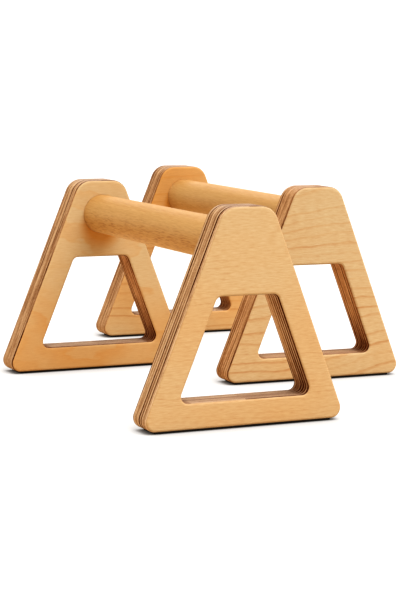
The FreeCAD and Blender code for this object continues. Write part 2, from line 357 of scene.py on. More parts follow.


# The four sheets of plywood differ, and each lies at a place of its own in the patterns. Face veneer: how
# warm it is, how strong its broad patches are, how its tone drifts between two heights and how much of its
# fibre shows. Growth lines: how far apart, how strong, how slanted and how wavy they are, how they darken and
# how warm their figure is. Edges: how dark the glue and two kinds of plies along the face show, how strongly
# a warm tint of painted shade darkens the outer sides and the window's sides, and how dark the seven crossing
# plies show, from the outer face inwards, at the foot and at the top of each leg.
SHEETS = {
    "left_front_frame": {
        "shift": (3.1, 0.0, 1.7), "warmth": 0.18, "patches": 0.12, "drift": ((0, 0.2), (0.07, -0.08)),
        "fibre": 1.0, "line_spacing": 0.0046, "line_strength": 0.2, "slant": 0.01, "sway": 1.6,
        "line": FINE_LINE, "figure": 0.0, "glue": 0.65, "along": (0.04, 0.2), "shade_tint": (0.0, 0.15),
        "plies_left": ((0.05, 0.75, 0.6, 1.2, 0.15, 0.2, 0.9), (0.15, 1.3, 0.65, 0.45, 0.5, 1.0, 0.35)),
        "plies_right": ((0.85, 0.8, 0.9, 0.95, 0.6, 0.55, 0.8), (0.9, 1.0, 0.7, 0.5, 0.45, 0.4, 0.45))},
    "right_front_frame": {
        "shift": (8.4, 0.0, 5.2), "warmth": 0.08, "patches": 0.12, "drift": ((0, 0.2), (0.04, -0.04)),
        "fibre": 1.0, "line_spacing": 0.0098, "line_strength": 0.42, "slant": 0.09, "sway": 1.1,
        "line": FINE_LINE, "figure": 0.1, "glue": 0.3, "along": (0.14, 0.28), "shade_tint": (0.3, 0.5),
        "plies_left": ((0.65, 0.55, 0.45, 0.45, 0.6, 0.6, 0.75), (0.65, 0.2, 0.1, 0.15, 0.5, 0.65, 0.5)),
        "plies_right": ((0.65, 0.95, 0.5, 0.45, 0.55, 0.75, 0.65), (0.6, 0.95, 0.5, 0.45, 0.5, 0.7, 0.6))},
    "left_rear_frame": {
        "shift": (21.3, 0.0, 7.7), "warmth": 0.18, "patches": 0.08, "drift": ((0.045, 0.095), (0.32, 0)),
        "fibre": 0.65, "line_spacing": 0.05, "line_strength": 0.16, "slant": 0.6, "sway": 2.6,
        "line": BROAD_LINE, "figure": 0.3, "glue": 0.1, "along": (0.3, 0.36), "shade_tint": (0.0, 0.6),
        "plies_left": ((1.0, 1.0, 0.75, 0.6, 0.55, 0.7, 1.0), (1.0, 0.9, 0.6, 0.5, 0.5, 0.65, 0.95)),
        "plies_right": ((0.55, 0.45, 0.3, 0.2, 0.3, 0.5, 1.0), (0.6, 0.7, 0.6, 0.05, 0.8, 0.5, 0.65))},
    "right_rear_frame": {
        "shift": (19.2, 0.0, 14.9), "warmth": 0.44, "patches": 0.20, "drift": ((0, 0.2), (-0.1, 0.3)),
        "fibre": 0.7, "line_spacing": 0.0095, "line_strength": 0.4, "slant": -0.01, "sway": 0.7,
        "line": FINE_LINE, "figure": 0.1, "glue": 0.1, "along": (0.26, 0.34), "shade_tint": (0.1, 0.5),
        "plies_left": ((0.6, 0.5, 0.4, 0.3, 0.4, 0.3, 0.5), (0.4, 0.5, 0.3, 0.4, 0.25, 0.3, 0.4)),
        "plies_right": ((0.5, 0.4, 0.3, 0.5, 0.4, 0.3, 0.5), (0.6, 0.8, 0.5, 0.6, 0.7, 0.6, 0.6))},
}

# The two bars are turned from different boards: where in the pattern each one lies, how strong its rays are
BARS = {"left_grip_bar": {"shift": (2.3, 0.0, 4.1), "rays": 0.46},
        "right_grip_bar": {"shift": (7.9, 0.0, 11.6), "rays": 0.2}}


def rounded_loop(corners, radii, side_shares):
    """A closed anticlockwise loop of straight sides and round corners: points and outward normals.

    At each corner an arc runs from the normal of one side to that of the next, about the point that lies
    the radius inside both; after it come the points at the given shares of the side to the next corner.
    """
    ways = np.roll(corners, -1, axis=0) - corners
    ways /= np.linalg.norm(ways, axis=1, keepdims=True)
    outward = np.stack([ways[:, 1], -ways[:, 0]], axis=1)
    before = np.roll(outward, 1, axis=0)
    inward = (before + outward) / (1 + np.sum(before * outward, axis=1, keepdims=True))
    centres = corners - radii[:, None] * inward
    start = np.arctan2(before[:, 1], before[:, 0])
    sweep = np.mod(np.arctan2(outward[:, 1], outward[:, 0]) - start, 2 * np.pi)
    angles = start[:, None] + sweep[:, None] * np.linspace(0, 1, CORNER_PARTS + 1)
    arc_normals = np.stack([np.cos(angles), np.sin(angles)], axis=-1)
    arcs = centres[:, None] + radii[:, None, None] * arc_normals
    points, normals = [], []
    for number, shares in enumerate(side_shares):
        leave = arcs[number, -1]
        arrive = arcs[(number + 1) % len(corners), 0]
        side = leave + shares[:, None] * (arrive - leave)
        points += [arcs[number], side]
        normals += [arc_normals[number], np.broadcast_to(outward[number], side.shape)]
    return np.concatenate(points), np.concatenate(normals)


def inner_shares(parts):
    """The shares that divide a side into equal parts, without its two ends."""
    return np.linspace(0, 1, parts + 1)[1:-1]


def edge_profile(thickness, radius):
    """How far in and how deep a rounded edge lies: a quarter circle, a straight run, a quarter circle."""
    angles = np.linspace(0, np.pi / 2, ROUND_PARTS + 1)
    inset = radius * (1 - np.sin(angles))
    depth = radius * (1 - np.cos(angles))
    straight = np.linspace(radius, thickness - radius, SHEET_PARTS + 1)[1:-1]
    insets = np.concatenate([inset, np.zeros_like(straight), inset[::-1]])
    depths = np.concatenate([depth, straight, thickness - depth[::-1]])
    return insets, depths


def carry(points, normals, insets, depths):
    """A profile carried round a loop: each point moved in along the loop's normal, and into the sheet."""
    flat = points[None] - insets[:, None, None] * normals[None]
    into = np.broadcast_to(depths[:, None], flat.shape[:2])
    return np.stack([flat[..., 0], into, flat[..., 1]], axis=-1)


def span(inner, outer, depth):
    """A flat face between two loops with as many points: straight rows from the one to the other."""
    rows = inner[None] + FACE_ROWS[:, None, None] * (outer - inner)[None]
    return np.stack([rows[..., 0], np.full(rows.shape[:2], depth), rows[..., 1]], axis=-1)


def fill(loop, centre, depth):
    """A flat disc: the loop drawn in towards its centre."""
    rows = centre + DISC_ROWS[:, None, None] * (loop - centre)[None]
    return np.stack([rows[..., 0], np.full(rows.shape[:2], depth), rows[..., 1]], axis=-1)


def circle_towards(points, centre, radius):
    """The points of a circle that lie on the way from its centre to the given points."""
    ways = points - centre
    return centre + radius * ways / np.linalg.norm(ways, axis=1, keepdims=True)


def frame_loops(sizes):
    """Outline and window of a frame, each as points and outward normals."""
    strip, height = sizes.strip_thickness, sizes.overall_height
    lean = (sizes.base_width - sizes.top_width) / (2 * (height - strip))
    leg_run = sizes.leg_width * math.hypot(1, lean)
    half_base, half_top = sizes.base_width / 2, sizes.top_width / 2
    window_base = half_base - lean * sizes.rail_height - leg_run
    window_top = half_top + lean * sizes.crown_height - leg_run
    low, high = strip + sizes.rail_height, height - sizes.crown_height

    def trapezoid(base, top, down, up):
        return np.array([(-base, down), (base, down), (top, up), (-top, up)])

    below = np.linspace(0, LEG_SPLIT, LOW_LEG_PARTS + 1)[1:]
    above = np.linspace(LEG_SPLIT, 1, HIGH_LEG_PARTS + 1)[1:-1]
    leg = np.concatenate([below, above])
    radii = np.array([sizes.base_corner_radius] * 2 + [sizes.top_corner_radius] * 2)
    outline = rounded_loop(trapezoid(half_base, half_top, strip, height), radii,
                           [inner_shares(BASE_PARTS), leg, inner_shares(TOP_PARTS), 1 - leg[::-1]])
    window_leg = inner_shares(LOW_LEG_PARTS)
    window_radii = np.full(4, sizes.window_corner_radius)
    window = rounded_loop(trapezoid(window_base, window_top, low, high), window_radii,
                          [inner_shares(BASE_PARTS), window_leg, inner_shares(WINDOW_TOP_PARTS),
                           window_leg])
    return outline, window


def face_patches(outline, window, bar_centre, hole_radius, depth):
    """A frame's flat face in two rings, which meet on a level line between window and mortise.

    The outline turns so that it starts on the left leg at that line; its first run goes round below the
    line and its second one above. The lower ring lies between the window and the first run closed by the
    line, the upper ring between the circle and the second run closed by the same line.
    """
    corner = CORNER_PARTS + 1
    low_run = 2 * LOW_LEG_PARTS + 2 * CORNER_PARTS + BASE_PARTS + 1
    left_split = len(outline) - LOW_LEG_PARTS
    turned = np.roll(outline, -left_split, axis=0)
    below, above = turned[:low_run], turned[low_run:]
    line_points = 2 * corner + WINDOW_TOP_PARTS - 1
    shares = np.linspace(0, 1, line_points)[1:-1, None]
    line = below[-1] + shares * (below[0] - below[-1])
    lower_outer = np.concatenate([below, line])
    lower_inner = np.roll(window, -(len(window) - LOW_LEG_PARTS), axis=0)
    upper_outer = np.concatenate([above, below[:1], line[::-1], below[-1:]])
    circle = circle_towards(upper_outer, bar_centre, hole_radius)
    return [span(lower_inner, lower_outer, depth), span(circle, upper_outer, depth)], circle


def frame_patches(sizes):
    """All surfaces of a frame as grids of points in its own coordinates, closed along their rows."""
    thickness, radius = sizes.frame_thickness, sizes.edge_round
    outline, window = frame_loops(sizes)
    insets, depths = edge_profile(thickness, radius)
    patches = [carry(*outline, insets, depths), carry(*window, -insets, depths)]
    outline_face = outline[0] - radius * outline[1]
    window_face = window[0] + radius * window[1]
    bar_centre = np.array([0, sizes.overall_height - sizes.bar_drop])
    hole = sizes.bar_diameter / 2 + sizes.glue_gap
    floor = thickness - sizes.mortise_depth
    for depth, hole_radius in ((0, hole), (thickness, hole + MOUTH_EASE)):
        rings, circle = face_patches(outline_face, window_face, bar_centre, hole_radius, depth)
        patches += rings
    wall = bar_centre + (circle - bar_centre) * hole / (hole + MOUTH_EASE)
    mouth = np.stack([circle, wall, wall])
    mouth_depths = np.array([thickness, thickness - MOUTH_EASE, floor])
    into = np.broadcast_to(mouth_depths[:, None], mouth.shape[:2])
    patches.append(np.stack([mouth[..., 0], into, mouth[..., 1]], axis=-1))
    patches.append(fill(wall, bar_centre, floor))
    patches.append(fill(wall, bar_centre, 0))
    return patches


def bar_patches(sizes):
    """A turned bar: a profile of radius and place along the bar, carried round its axis."""
    start = sizes.frame_thickness - sizes.mortise_depth + sizes.bar_end_gap
    end = sizes.frame_thickness + sizes.grip_length + sizes.mortise_depth - sizes.bar_end_gap
    radius, chamfer = sizes.bar_diameter / 2, sizes.bar_end_chamfer
    straight = np.linspace(start + chamfer, end - chamfer, BAR_PARTS_ALONG + 1)
    along = np.concatenate([[start, start, start], straight, [end, end, end]])
    end_radii = np.array([0, (radius - chamfer) / 2, radius - chamfer])
    radii = np.concatenate([end_radii, np.full_like(straight, radius), end_radii[::-1]])
    turns = np.linspace(0, 2 * np.pi, BAR_PARTS_ROUND, endpoint=False)
    across = radii[:, None] * np.sin(turns)
    up = radii[:, None] * np.cos(turns)
    return [np.stack([across, np.broadcast_to(along[:, None], across.shape), up], axis=-1)]


def strip_patches(sizes):
    """A foot strip: its rounded outline carried up its thickness, with the lower edge eased.

    The flat faces below and above are rows from the outline in to a line along the strip's middle.
    """
    half = sizes.strip_length / 2
    near, far = sizes.edge_round, sizes.frame_thickness - sizes.edge_round
    corners = np.array([(-half, near), (half, near), (half, far), (-half, far)])
    shares = inner_shares(STRIP_SIDE_PARTS)
    points, normals = rounded_loop(corners, np.full(4, sizes.strip_corner_radius), [shares] * 4)
    angles = np.linspace(0, np.pi / 2, ROUND_PARTS + 1)
    insets = np.concatenate([STRIP_EASE * (1 - np.sin(angles)), [0]])
    heights = np.concatenate([STRIP_EASE * (1 - np.cos(angles)), [sizes.strip_thickness]])
    rows = points[None] - insets[:, None, None] * normals[None]
    up = np.broadcast_to(heights[:, None], rows.shape[:2])
    wall = np.stack([rows[..., 0], rows[..., 1], up], axis=-1)
    spine = np.stack([np.clip(points[:, 0], -half + far / 2, half - far / 2),
                      np.full(len(points), (near + far) / 2)], axis=-1)

    def flat(edge):
        level = edge[None, :, :2] + (1 - DISC_ROWS)[:, None, None] * (spine - edge[:, :2])[None]
        return np.concatenate([level, np.broadcast_to(edge[None, :, 2:], level.shape[:2] + (1,))], axis=-1)

    return [wall, flat(wall[0]), flat(wall[-1])]


def grid_faces(rows, columns, first):
    """Quads of a grid whose rows close on themselves, counted from the number of its first point."""
    numbers = first + np.arange(rows * columns).reshape(rows, columns)
    following = np.roll(numbers, -1, axis=1)
    quads = np.stack([numbers[:-1], following[:-1], following[1:], numbers[1:]], axis=-1)
    return quads.reshape(-1, 4)


def welded_mesh(name, patches):
    """One closed mesh from patches that share their borders: equal points merged, faces turned outwards."""
    points = np.concatenate([patch.reshape(-1, 3) for patch in patches])
    firsts = np.cumsum([0] + [patch.shape[0] * patch.shape[1] for patch in patches])
    faces = np.concatenate([grid_faces(*patch.shape[:2], first) for patch, first in zip(patches, firsts)])
    mesh = bpy.data.meshes.new(name)
    mesh.from_pydata(points, [], faces)
    shape = bmesh.new()
    shape.from_mesh(mesh)
    bmesh.ops.remove_doubles(shape, verts=shape.verts, dist=SAME_PLACE)
    bmesh.ops.dissolve_degenerate(shape, edges=shape.edges, dist=SAME_PLACE)
    bmesh.ops.recalc_face_normals(shape, faces=shape.faces)
    loose = [edge for edge in shape.edges if not edge.is_manifold]
    shape.to_mesh(mesh)
    shape.free()
    if loose:
        raise RuntimeError(f"{name}: {len(loose)} edges of the surface stay open")
    mesh.shade_smooth()
    mesh.set_sharp_from_angle(angle=CREASE)
    return mesh


def store(mesh, name, values):
    """Vectors kept with the mesh's points."""
    attribute = mesh.attributes.new(name, "FLOAT_VECTOR", "POINT")
    attribute.data.foreach_set("vector", values.astype(np.float32).ravel())


def read_vectors(collection, name):
    """Vectors of a mesh's points as rows of an array."""
    values = np.zeros(len(collection) * 3, np.float32)
    collection.foreach_get(name, values)
    return values.reshape(-1, 3).astype(float)


def side_place(side, places):
    """The turn, as a two-by-two matrix, and the place on the floor of one parallette."""
    turn = -places.right_turn if side == "right" else 0.0
    shift = np.array(places.left)
    if side == "right":
        shift = shift + np.array([places.spacing, places.stagger])
    matrix = np.array([[math.cos(turn), -math.sin(turn)], [math.sin(turn), math.cos(turn)]])
    return matrix, shift


def build_piece(node, patches, to_parallette, side, places, finish):
    """A finished piece in place of a solid: meshed in its own coordinates, then set in the pair."""
    mesh = welded_mesh(node, patches)
    own = read_vectors(mesh.vertices, "co")
    store(mesh, OWN_PLACE, own)
    store(mesh, FACING, read_vectors(mesh.vertex_normals, "vector"))
    placed = to_parallette(own)
    turn, shift = side_place(side, places)
    placed[:, :2] = placed[:, :2] @ turn.T + shift
    mesh.vertices.foreach_set("co", placed.astype(np.float32).ravel())
    mesh.update()
    mesh.materials.append(finish)
    piece = bpy.data.objects.new(f"{node}_piece", mesh)
    bpy.context.scene.collection.objects.link(piece)
    weighted = piece.modifiers.new("Even shading", "WEIGHTED_NORMAL")
    weighted.keep_sharp = True
    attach(piece, f"{side}_parallette")
    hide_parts(node)
    return piece


def end_placer(end, sizes):
    """A piece's own coordinates to its parallette's: a rear piece is turned by half a turn."""
    unit_length = sizes.grip_length + 2 * sizes.frame_thickness

    def to_parallette(own):
        placed = own.copy()
        if end == "rear":
            placed[:, 0] = -own[:, 0]
            placed[:, 1] = unit_length - own[:, 1]
        return placed

    return to_parallette


class Wiring:
    """Adds nodes to a material or to the sky, with one short call for each kind."""

    def __init__(self, owner):
        owner.use_nodes = True
        self.owner = owner
        self.tree = owner.node_tree
        self.shader = next(node for node in self.tree.nodes if node.type in SHADERS)

    def feed(self, socket, value):
        """Links a socket to another one, or sets its value."""
        if isinstance(value, bpy.types.NodeSocket):
            self.tree.links.new(value, socket)
        else:
            socket.default_value = value

    def shade(self, socket, value):
        """Feeds a socket of the shader."""
        self.feed(self.shader.inputs[socket], value)

    def node(self, kind, feeds=None, **settings):
        """A node with its settings and its inputs, by number or name."""
        made = self.tree.nodes.new(kind)
        for setting, value in settings.items():
            setattr(made, setting, value)
        for key, value in (feeds or {}).items():
            self.feed(made.inputs[key], value)
        return made

    def attribute(self, name):
        """A vector kept with the mesh's points."""
        return self.node("ShaderNodeAttribute", attribute_name=name).outputs["Vector"]

    def split(self, vector):
        """The three parts of a vector."""
        return self.node("ShaderNodeSeparateXYZ", {0: vector}).outputs

    def join(self, first, second, third):
        """A vector of three parts."""
        return self.node("ShaderNodeCombineXYZ", {0: first, 1: second, 2: third}).outputs[0]

    def stretch(self, vector, scale, shift=(0, 0, 0)):
        """A vector scaled in each direction, then moved."""
        feeds = {"Vector": vector, "Scale": scale, "Location": shift}
        return self.node("ShaderNodeMapping", feeds).outputs[0]

    def noise(self, vector, detail=2.0, roughness=0.5):
        """Soft noise, about one feature for each unit of the vector."""
        feeds = {"Vector": vector, "Scale": 1.0, "Detail": detail, "Roughness": roughness}
        return self.node("ShaderNodeTexNoise", feeds).outputs[0]

    def math(self, operation, first, second=0.0):
        """One operation on one or two values."""
        return self.node("ShaderNodeMath", {0: first, 1: second}, operation=operation).outputs[0]

    def spread(self, value, low, high, to_low=0.0, to_high=1.0):
        """A range of values laid on another, and cut off at its ends."""
        feeds = {0: value, 1: low, 2: high, 3: to_low, 4: to_high}
        return self.node("ShaderNodeMapRange", feeds, clamp=True).outputs[0]

    def ramp(self, value, stops, interpolation="LINEAR"):
        """Grey values between stops."""
        made = self.node("ShaderNodeValToRGB", {0: value})
        elements = made.color_ramp.elements
        made.color_ramp.interpolation = interpolation
        elements.remove(elements[1])
        for number, (position, grey) in enumerate(stops):
            element = elements[0] if number == 0 else elements.new(position)
            element.position = position
            element.color = (grey, grey, grey, 1)
        return made.outputs[0]

    def mix(self, share, first, second, blend="MIX"):
        """Two colours mixed by a share."""
        feeds = {0: share, MIX_FIRST: first, MIX_SECOND: second}
        made = self.node("ShaderNodeMix", feeds, data_type="RGBA", blend_type=blend)
        return made.outputs[MIX_RESULT]

    def bump(self, height, strength, distance):
        """Fine relief from a height."""
        feeds = {"Height": height, "Strength": strength, "Distance": distance}
        self.shade("Normal", self.node("ShaderNodeBump", feeds).outputs[0])

    def total(self, *values):
        """The sum of several values."""
        result = values[0]
        for value in values[1:]:
            result = self.math("ADD", result, value)
        return result

    def product(self, *values):
        """The product of several values."""
        result = values[0]
        for value in values[1:]:
            result = self.math("MULTIPLY", result, value)
        return result


def opaque(colour_property):
    """A colour property as a socket takes it."""
    return (*colour_property, 1.0)


def ply_stops(thickness, along, strengths):
    """Where each ply starts, as a share of the sheet, and how dark it shows.

    Plies along the face and crossing plies take turns. Those along it are of two kinds, in turns as well,
    and the crossing ones go by their strengths.
    """
    starts = np.concatenate([[0], np.linspace(VENEER, thickness - VENEER, INNER_PLIES + 1)]) / thickness
    greys = np.zeros(len(starts))
    greys[0::4], greys[2::4] = along
    greys[1::2] = strengths
    return [(float(start), float(grey)) for start, grey in zip(starts, greys)]


def painted_bar_shadow(wiring, own, sizes):
    """How much warmer the inner face is below the bar, as a painted shadow, by a point's distance from the
    patch's middle.
    """
    across, into, up = wiring.split(own)
    middle = sizes.overall_height - sizes.bar_drop - BAR_SHADOW_DROP
    level = wiring.math("SUBTRACT", up, middle)
    squares = wiring.total(wiring.product(across, across), wiring.product(level, level))
    distance = wiring.math("SQRT", squares)
    inner_face = wiring.math("GREATER_THAN", into, sizes.frame_thickness - VENEER)
    return wiring.product(inner_face, wiring.spread(distance, *BAR_SHADOW_RADII, BAR_SHADOW_WARMTH, 0))


def face_tone(wiring, own, look):
    """How warm the face veneer is at a point, how strong its brown grain is, and its fibre.

    Growth lines are the fraction of (height less slant, over their spacing, plus a slow and a quick sway);
    each line, by its whole number, has a strength of its own and comes and goes along its length. The grain
    also has fine fibres and short dashes; the warmth follows the lines as a figure, lies in broad patches
    and drifts between two heights.
    """
    across, _, up = wiring.split(own)

    def pattern(density, **kind):
        return wiring.noise(wiring.stretch(own, density, look["shift"]), **kind)

    slow_reach, quick_reach = SLOW_SWAY_REACH * look["sway"], QUICK_SWAY_REACH * look["sway"]
    sway = wiring.total(wiring.spread(pattern(SLOW_SWAY, **SMOOTH), 0, 1, -slow_reach, slow_reach),
                        wiring.spread(pattern(QUICK_SWAY), 0, 1, -quick_reach, quick_reach))
    level = wiring.math("SUBTRACT", up, wiring.product(across, look["slant"]))
    count = wiring.total(wiring.math("DIVIDE", level, look["line_spacing"]), sway)
    line = wiring.ramp(wiring.math("FRACT", count), look["line"])
    lot = wiring.node("ShaderNodeTexWhiteNoise", {"W": wiring.math("FLOOR", count)}, noise_dimensions="1D")
    own_strength = wiring.spread(lot.outputs[0], 0, 1, WEAKEST_LINE, 1)
    come_and_go = wiring.spread(pattern(LINE_BREAKS), *LINE_BREAK_LIMITS, WEAKEST_LINE, 1)
    fade = wiring.spread(up, *LINE_FADE, look["line_strength"], LINE_KEPT * look["line_strength"])
    fibre = pattern(FACE_FIBRE, **FACE_FIBROUS)
    warmth, patches = look["warmth"], look["patches"]
    heights, change = look["drift"]
    tone = wiring.total(
        wiring.spread(pattern(FACE_PATCHES), *FACE_PATCH_LIMITS, warmth - patches, warmth + patches),
        wiring.product(line, own_strength, look["figure"]),
        wiring.spread(up, *heights, *change))
    grain = wiring.total(
        wiring.spread(fibre, *FACE_FIBRE_LIMITS, 0, FIBRE_REACH * look["fibre"]),
        wiring.product(line, own_strength, come_and_go, fade),
        wiring.spread(pattern(FACE_DASHES), *FACE_DASH_LIMITS, 0, DASH_REACH * look["fibre"]))
    return tone, grain, fibre


def edge_tone(wiring, own, inwards, look, depth, thickness):
    """How dark a sheet's edge is at a point: by ply, coming and going along it, with glue lines and specks.

    The window's sides, which face the middle of the frame, darken towards their lower corners: partly
    scorch from the cutter, partly painted shade.
    """
    across, into, up = wiring.split(own)
    pitch = (thickness - 2 * VENEER) / INNER_PLIES
    count = wiring.math("DIVIDE", wiring.math("SUBTRACT", into, VENEER), pitch)
    climb = wiring.spread(up, *PLY_CHANGE)

    def leg_plies(rows):
        stops = [ply_stops(thickness, look["along"], row) for row in rows]
        foot, top = (wiring.ramp(depth, row_stops, "CONSTANT") for row_stops in stops)
        return wiring.mix(climb, foot, top)

    right_leg = wiring.math("GREATER_THAN", across, 0.0)
    strength = wiring.mix(right_leg, leg_plies(look["plies_left"]), leg_plies(look["plies_right"]))
    ply_place = wiring.join(across, wiring.product(wiring.math("FLOOR", count), PLY_STEP), up)
    patch = wiring.noise(wiring.stretch(ply_place, EDGE_PATCHES, look["shift"]))
    coming = wiring.product(strength, wiring.spread(patch, *EDGE_PATCH_LIMITS, *PLY_SHARES))
    streak = wiring.noise(wiring.stretch(ply_place, EDGE_STREAKS, look["shift"]), **STREAKED)
    wander = wiring.spread(streak, *EDGE_STREAK_LIMITS, -WANDER_REACH, WANDER_REACH)
    # Partly scorch, partly painted shade: darker towards the lower corners of the window's sides
    scorch_and_shade = wiring.product(inwards, wiring.spread(up, *SCORCH_AND_SHADE_HEIGHTS, *SCORCH_AND_SHADE))
    glue = wiring.product(wiring.ramp(wiring.math("FRACT", count), GLUE_PROFILE), look["glue"])
    grain = wiring.noise(wiring.stretch(own, EDGE_GRAIN, look["shift"]))
    specks = wiring.spread(grain, *EDGE_GRAIN_LIMITS, -SPECK_REACH, SPECK_REACH)
    return wiring.math("MAXIMUM", wiring.total(coming, wander, scorch_and_shade, glue, specks), 0.0)


def plywood_finish(node, sizes, colours):
    """Lacquered plywood: growth lines on the face veneers, crossing plies on the edges."""
    look = SHEETS[node]
    wiring = Wiring(bpy.data.materials.new(node))
    own = wiring.attribute(OWN_PLACE)
    facing = wiring.split(wiring.attribute(FACING))
    across, into, up = wiring.split(own)
    thickness = sizes.frame_thickness
    depth = wiring.math("DIVIDE", into, thickness)
    inwards = wiring.math("LESS_THAN", wiring.product(across, facing[0]), 0.0)

    tone, grain, fibre = face_tone(wiring, own, look)
    steep = wiring.spread(wiring.math("ABSOLUTE", facing[0]), *STEEP_FACING)
    side_warmth = wiring.product(steep, VENEER_SIDE_WARMTH)
    # The tone, with the warmth where the veneer turns to the side and the painted shadow below the bar
    tone_and_painted_shadow = wiring.total(tone, side_warmth, painted_bar_shadow(wiring, own, sizes))
    ground = wiring.mix(tone_and_painted_shadow, opaque(colours.face_pale), opaque(colours.face_warm))
    face = wiring.mix(grain, ground, opaque(colours.face_grain))

    darkness = edge_tone(wiring, own, inwards, look, depth, thickness)
    to_middle = wiring.spread(darkness, *MIDDLE_LIMITS)
    lower = wiring.mix(to_middle, opaque(colours.edge_pale), opaque(colours.edge_middle))
    steep_edge = wiring.mix(wiring.spread(darkness, *DARK_LIMITS), lower, opaque(colours.edge_dark))
    # Painted light: level plies turn paler towards the top of the frame
    high = wiring.spread(up, *LIT_TOP_CHANGE)
    level_ground = wiring.mix(high, opaque(colours.edge_level), opaque(colours.edge_top_lit))
    level_dark = wiring.spread(darkness, *LEVEL_LIMITS, 0, LEVEL_DARKEST)
    level_edge = wiring.mix(level_dark, level_ground, opaque(colours.edge_dark))
    wood_edge = wiring.mix(steep, level_edge, steep_edge)
    # Painted shade: the plies of the window's sides, and of some outer sides, darkened with a warm tint
    shade_tint = wiring.spread(inwards, 0, 1, *look["shade_tint"])
    edge = wiring.mix(shade_tint, wood_edge, opaque(colours.edge_shade_tint), "MULTIPLY")

    veneer_share = VENEER / thickness
    veneer = wiring.ramp(depth, [(0, 1), (veneer_share, 0), (1 - veneer_share, 1)], "CONSTANT")
    wiring.shade("Base Color", wiring.mix(veneer, edge, face))
    sheen = wiring.spread(fibre, *SHEEN_LIMITS, *FACE_ROUGHNESS)
    wiring.shade("Roughness", wiring.total(sheen, wiring.product(darkness, DARK_PLY_ROUGHNESS)))
    wiring.shade("Specular IOR Level", FACE_SPECULAR)
    wiring.bump(wiring.math("SUBTRACT", fibre, darkness), *FACE_RELIEF)
    return wiring.owner


def bar_finish(node, colours):
    """Turned hardwood: rings, fine fibres along it and short dark rays, which show most on its underside as
    painted shade; its tone is painted shade and light by the way its surface faces.
    """
    wiring = Wiring(bpy.data.materials.new(node))
    own = wiring.attribute(OWN_PLACE)
    facing = wiring.split(wiring.attribute(FACING))

    def pattern(density, **kind):
        return wiring.noise(wiring.stretch(own, density, BARS[node]["shift"]), **kind)

    fibre = pattern(BAR_FIBRE, **BAR_FIBROUS)
    # Painted shade and light: the tone follows the way the surface faces, besides its rings and fibres
    tone = wiring.total(
        wiring.ramp(wiring.spread(facing[2], -1, 1), BAR_PAINTED_SHADE_TONES),
        wiring.spread(pattern(BAR_RINGS, **STREAKED), *BAR_RING_LIMITS, -RING_REACH, RING_REACH),
        wiring.spread(fibre, *BAR_FIBRE_LIMITS, -BAR_FIBRE_REACH, BAR_FIBRE_REACH))
    wood = wiring.mix(tone, opaque(colours.bar_pale), opaque(colours.bar_warm))
    # Painted light: the rays are grain, but they fade towards the bar's lit top
    below = wiring.spread(facing[2], *PAINTED_RAY_FACING, *PAINTED_RAY_SHARES)
    rays = wiring.spread(pattern(BAR_RAYS, **SMOOTH), *BAR_RAY_LIMITS, 0, BARS[node]["rays"])
    ray = wiring.product(below, rays)
    wiring.shade("Base Color", wiring.mix(ray, wood, opaque(colours.bar_fleck)))
    wiring.shade("Roughness", wiring.spread(fibre, *SHEEN_LIMITS, *BAR_ROUGHNESS))
    wiring.shade("Specular IOR Level", BAR_SPECULAR)
    wiring.bump(wiring.math("SUBTRACT", fibre, ray), *BAR_RELIEF)
    return wiring.owner


def rubber_finish(colours):
    """Matt black rubber with a fine pebbled skin and a trace of dust."""
    wiring = Wiring(bpy.data.materials.new("foot_rubber"))
    own = wiring.attribute(OWN_PLACE)
    pebble = wiring.node("ShaderNodeTexVoronoi", {"Vector": wiring.stretch(own, PEBBLES), "Scale": 1.0})
    dust = wiring.spread(wiring.noise(wiring.stretch(own, DUST), **DUSTY), *DUST_LIMITS, 0, DUST_REACH)
    dusty = tuple(min(1.0, part * DUST_BRIGHTNESS) for part in colours.rubber)
    wiring.shade("Base Color", wiring.mix(dust, opaque(colours.rubber), opaque(dusty)))
    wiring.shade("Roughness", wiring.spread(dust, 0, DUST_REACH, *RUBBER_ROUGHNESS))
    wiring.bump(pebble.outputs["Distance"], *RUBBER_RELIEF)
    return wiring.owner


class PARALLETTES_OT_plywood_frames(bpy.types.Operator):
    """Makes the four A-shaped plywood frames"""
    bl_idname = "parallettes.plywood_frames"
    bl_label = "Plywood frames"

    def execute(self, context):
        settings = context.scene.parallettes
        patches = frame_patches(settings.sizes)
        for side in SIDES:
            for end in ENDS:
                node = f"{side}_{end}_frame"
                finish = plywood_finish(node, settings.sizes, settings.colours)
                placer = end_placer(end, settings.sizes)
                build_piece(node, patches, placer, side, settings.places, finish)
        return {"FINISHED"}


class PARALLETTES_OT_grip_bars(bpy.types.Operator):
    """Makes the two turned grip bars"""
    bl_idname = "parallettes.grip_bars"
    bl_label = "Grip bars"

    def execute(self, context):
        settings = context.scene.parallettes
        patches = bar_patches(settings.sizes)
        axis_height = settings.sizes.overall_height - settings.sizes.bar_drop
        for side in SIDES:
            node = f"{side}_grip_bar"
            finish = bar_finish(node, settings.colours)
            build_piece(node, patches, lambda own: own + np.array([0, 0, axis_height]), side,
                        settings.places, finish)
        return {"FINISHED"}


class PARALLETTES_OT_foot_strips(bpy.types.Operator):
    """Makes the four rubber foot strips"""
    bl_idname = "parallettes.foot_strips"
    bl_label = "Foot strips"

    def execute(self, context):
        settings = context.scene.parallettes
        patches = strip_patches(settings.sizes)
        finish = rubber_finish(settings.colours)
        for side in SIDES:
            for end in ENDS:
                placer = end_placer(end, settings.sizes)
                build_piece(f"{side}_{end}_foot_strip", patches, placer, side,
                            settings.places, finish)
        return {"FINISHED"}


def cover_shade(wiring, reach, open_air, kept):
    """The share of the floor's glow that stays where the part covers it from within a reach."""
    cover = wiring.node("ShaderNodeAmbientOcclusion", {"Distance": reach})
    return wiring.spread(cover.outputs["AO"], *open_air, kept, 1)


